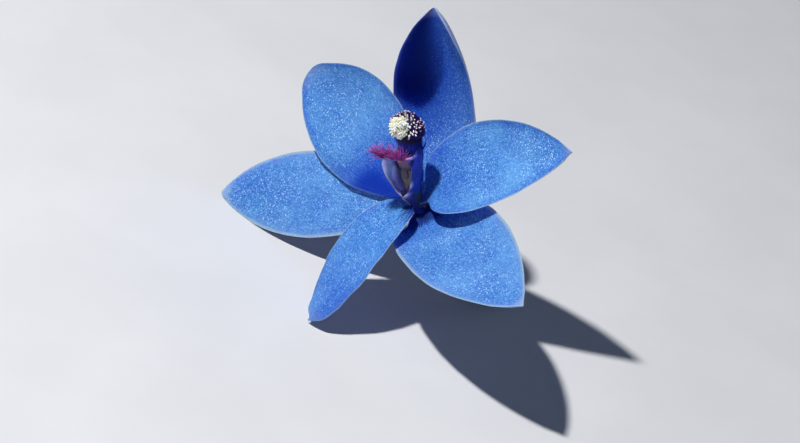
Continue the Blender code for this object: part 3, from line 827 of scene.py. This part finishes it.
# Each lump of the crest: its place from the middle and its radius over the heads. Its flesh ends at a
# share of that, and it carries fewer or more heads by its radius.
LUMPS = (
    (-0.58, -0.05, 0.40, 0.36), (-0.78, -0.10, -0.14, 0.38), (-0.55, -0.20, -0.66, 0.38),
    (-0.12, -0.05, 0.62, 0.36), (-0.02, -0.30, -0.66, 0.38), (-0.15, -0.42, 0.18, 0.40),
    (0.36, -0.20, 0.42, 0.30), (0.44, -0.30, -0.30, 0.36), (0.0, 0.35, 0.0, 0.76),
)
LUMP_FLESH = 0.86
SMALL_HEADS, BIG_HEADS, BIG_RADIUS = 32, 90, 0.5
HOLLOWS = (Vector((-0.40, -0.42, -0.22)), Vector((0.30, -0.62, 0.12)))
HOLLOW_WIDTH, HOLLOW_DEPTH = 0.30, 0.32
# Where the heads that stand apart are, seen from the hood's middle, and the angle in radians that they fill
CREST_WAY = Vector((0.36, -0.80, 0.47)).normalized()
CREST_ANGLE = 0.85
# Places tried all round the hood for a head that stands apart, and for a bead
APART_PLACES, BEAD_PLACES = 330, 420
# The least and the most radius of a head in the crest, of one that stands apart, and of a bead
CREST_HEAD, APART_HEAD, BEAD = (0.09, 0.14), (0.075, 0.115), (0.055, 0.095)


def spread_points(count):
    """Directions spaced evenly over a sphere."""
    golden = math.pi * (3 - math.sqrt(5))
    for index in range(count):
        height = 1 - 2 * (index + 0.5) / count
        ring = math.sqrt(1 - height * height)
        yield Vector((ring * math.cos(golden * index), ring * math.sin(golden * index), height))


def jitter(draw, most):
    return Vector([draw.uniform(-most, most) for _ in range(3)])


one_head = bpy.data.meshes.new("one_head")
bm = bmesh.new()
bmesh.ops.create_uvsphere(bm, u_segments=8, v_segments=6, radius=1.0)
bm.to_mesh(one_head)
bm.free()


def add_head(bm, spot, way, radius, length):
    """One callus: a small rounded head on a short neck, standing out along `way`."""
    before = len(bm.verts)
    bm.from_mesh(one_head)
    bm.verts.ensure_lookup_table()
    turn = UP.rotation_difference(way).to_matrix()
    for vert in bm.verts[before:]:
        slim = 0.72 + 0.28 * smooth_step(-0.6, 0.5, vert.co.z)
        local = vert.co * Vector((radius * slim, radius * slim, length))
        vert.co = COLUMN @ (spot + turn @ local)


cream_coat, tree = new_coat("cream calli", 0.45, 0.45)
colour = mottled(tree, 1300.0, 3.0, 0.35, 0.65, (0.92, 0.90, 0.68), (1.0, 0.99, 0.90))
colour = tinted(tree, spread(tree, mark_of(tree, "hollow"), 0.12, 0.6), colour, (0.36, 0.42, 0.10))
paint(tree, colour, cloudy(tree, 5000.0, 2.0), 0.02)
let_light_in(tree, 0.25, (1.0, 0.8, 0.4), 0.2)

draw = random.Random(11)
crest = bmesh.new()
hollow = crest.verts.layers.float.new("hollow")
lumps = [(Vector(place), radius) for *place, radius in LUMPS]
for middle, radius in lumps:
    before = len(crest.verts)
    bmesh.ops.create_icosphere(crest, subdivisions=4, radius=radius * LUMP_FLESH)
    crest.verts.ensure_lookup_table()
    for vert in crest.verts[before:]:
        spot = vert.co * (1 + 0.12 * uneven(*(vert.co * 4 + middle * 9))) + middle
        near = max(bell((spot - pit).length, HOLLOW_WIDTH) for pit in HOLLOWS)
        vert[hollow] = near
        vert.co = COLUMN @ (CREST_PLACE + spot + Vector((0, HOLLOW_DEPTH * near, 0)))
for middle, radius in lumps:
    for way in spread_points(SMALL_HEADS if radius < BIG_RADIUS else BIG_HEADS):
        way = (way + jitter(draw, 0.15)).normalized()
        spot = middle + way * radius
        hidden = any((spot - other).length < size * 0.9 for other, size in lumps if other is not middle)
        if hidden or way.y > 0.55 or min((spot - pit).length for pit in HOLLOWS) < 0.22:
            continue
        big = draw.uniform(*CREST_HEAD)
        add_head(crest, CREST_PLACE + spot, way, big, big * draw.uniform(1.1, 1.8))
# To its right and above it the heads stand apart, longer and on thinner necks
for way in spread_points(APART_PLACES):
    if way.angle(CREST_WAY) > CREST_ANGLE or way.x < -0.35 or draw.random() < 0.28:
        continue
    way = (way + jitter(draw, 0.06)).normalized()
    spot = HOOD_PLACE + way * HOOD_SIZE
    if any((spot - CREST_PLACE - other).length < size for other, size in lumps):
        continue
    big = draw.uniform(*APART_HEAD)
    leaning = (way + jitter(draw, 0.3)).normalized()
    add_head(crest, spot + way * 0.12, leaning, big, big * draw.uniform(2.0, 3.4))
grown("cream_crest", crest, cream_coat, "calli", "calli_crest")

bead_coat, tree = new_coat("pinkish white beads", 0.4)
colour = mottled(tree, 1100.0, 3.0, 0.35, 0.65, (0.62, 0.42, 0.60), (0.90, 0.82, 0.80))
paint(tree, colour, cloudy(tree, 4000.0, 2.0), 0.02)
beads = bmesh.new()
for way in spread_points(BEAD_PLACES):
    off = way.angle(CREST_WAY)
    if way.z < -0.2 + 0.25 * max(0.0, way.x) or way.y > 0.75 or off < 0.6:
        continue
    # They thin out away from the crest
    if draw.random() < 0.35 + 0.5 * smooth_step(0.9, 1.7, off):
        continue
    way = (way + jitter(draw, 0.06)).normalized()
    size = draw.uniform(*BEAD)
    add_head(beads, HOOD_PLACE + way * HOOD_SIZE + way * 0.05, way, size, size * draw.uniform(1.0, 1.8))
grown("hood_beads", beads, bead_coat, "calli", "column")
bpy.data.meshes.remove(one_head)

# Brushes. A tuft of stiff magenta hairs, paler towards their tips, grows along the end of each arm and
# fans out from it.
BRUSHES = {
    # The line that its hairs stand on, where they aim, and how many there are
    "left_brush": ((-1.50, -2.9, 7.15), (-0.35, -2.55, 6.90), (-0.2, -0.2, 0.9), 180),
    "right_brush": ((-0.05, -2.4, 6.85), (1.05, -2.3, 6.8), (0.15, -0.1, 0.95), 90),
}
HAIR_FOOT, HAIR_END, HAIR_LENGTHS = 0.042, 0.014, (0.55, 1.6)
# How far the hairs stray from the line, from their aim and from straight
STRAY_FOOT, STRAY_AIM, STRAY_BEND = 0.07, 0.42, 0.18
hair_coat, tree = new_coat("magenta hairs", 0.5, 0.4)
share_up = mark_of(tree, "to_end")
colour = mottled(tree, 900.0, 2.0, 0.35, 0.7, (0.25, 0.012, 0.19), (0.42, 0.035, 0.34))
colour = tinted(tree, spread(tree, share_up, 0.5, 1.0, 0.0, 0.8), colour, (0.52, 0.13, 0.55))
colour = tinted(tree, spread(tree, share_up, 0.12, 0.0), colour, (0.70, 0.45, 0.66))
paint(tree, colour, cloudy(tree, 6000.0, 1.0), 0.01)
for name, (first, last, aim, count) in BRUSHES.items():
    draw = random.Random(name)
    first, last, aim = Vector(first), Vector(last), Vector(aim).normalized()
    brush = bmesh.new()
    to_end = brush.verts.layers.float.new("to_end")
    for index in range(count):
        share = (index + 0.5) / count
        start = first.lerp(last, share) + Vector([draw.gauss(0, STRAY_FOOT) for _ in range(3)])
        fan = (last - first).normalized() * (share - 0.6) * (1.5 if share < 0.6 else 0.8)
        way = Vector([draw.gauss(0, STRAY_AIM) for _ in range(3)]) + aim + fan
        way.z = max(way.z, 0.05)
        droop = jitter(draw, STRAY_BEND)
        length = draw.uniform(*HAIR_LENGTHS)
        turn = UP.rotation_difference(way.normalized()).to_matrix()
        for vert in add_spine(brush, 5, HAIR_FOOT, HAIR_END, 3):
            up = vert.co.z + 0.5
            vert[to_end] = up
            local = turn @ Vector((vert.co.x, vert.co.y, up * length))
            vert.co = COLUMN @ (start + local + droop * up * up * length)
    grown(name + "_hairs", brush, hair_coat, "brush", name)

# Table top. A plain pale board, its tone very slightly uneven, which the flower lies on. It stands in for
# whatever level surface a picked flower is put down on.
TABLE_HALF = 2.0
table_coat, tree = new_coat("pale table top", 0.7, 0.3)
colour = mottled(tree, 60.0, 4.0, 0.3, 0.7, (0.76, 0.76, 0.77), (0.80, 0.80, 0.81))
tree.links.new(colour, surface(tree)["Base Color"])
floor = bmesh.new()
bmesh.ops.create_grid(floor, x_segments=1, y_segments=1, size=TABLE_HALF)
table_top = body_of("table_top", floor, table_coat)


# Studio light. A small key lamp above and in front of the flower, a broad fill from its right, one from
# behind, and a pale room round it all.
def soft_light(name, way, distance, size, power, colour):
    """A round lamp that shines on the flower's heart. Distance and size are in metres."""
    lamp = bpy.data.lights.new(name, "AREA")
    lamp.shape = "DISK"
    lamp.size = size
    lamp.energy = power
    lamp.color = colour
    made = in_scene(name, lamp)
    way = Vector(way).normalized()
    made.location = HEART * MM + way * distance
    made.rotation_euler = way.to_track_quat("Z", "Y").to_euler()


soft_light("key light", (-0.121, -0.514, 0.849), 0.40, 0.02, 1.68, (1.0, 1.0, 1.0))
soft_light("fill light", (0.66, -0.56, 0.35), 0.50, 0.30, 0.07, (0.70, 0.82, 1.0))
soft_light("back light", (-0.3, 0.9, 0.5), 0.50, 0.30, 0.08, (0.80, 0.88, 1.0))
room = bpy.data.worlds.new("pale room")
bpy.context.scene.world = room
room.use_nodes = True
air = room.node_tree.nodes["Background"].inputs
air["Color"].default_value = (0.44, 0.62, 1.0, 1.0)
air["Strength"].default_value = 0.085
bpy.context.scene.view_settings.view_transform = "Standard"

# The camera looks down on the flower from its right
CAMERA_RIGHT, CAMERA_UP = Vector((0.4782, 0.8297, 0.2881)), Vector((-0.5839, 0.0553, 0.8099))
CAMERA_BACK = Vector((0.656, -0.5556, 0.5109))
CAMERA_DISTANCE, HEART_TO_RIGHT, HEART_UP = 300.0, 1.7, 1.35
seen = bpy.data.cameras.new("camera")
seen.sensor_width = 36.0
seen.lens = 135.0
seen.clip_start = 0.01
seen.clip_end = 20.0
camera = in_scene("camera", seen)
offset = CAMERA_BACK * CAMERA_DISTANCE - CAMERA_RIGHT * HEART_TO_RIGHT - CAMERA_UP * HEART_UP
camera.location = HEART * MM + offset * MM
camera.rotation_euler = Matrix((CAMERA_RIGHT, CAMERA_UP, CAMERA_BACK)).transposed().to_euler()
bpy.context.scene.camera = camera
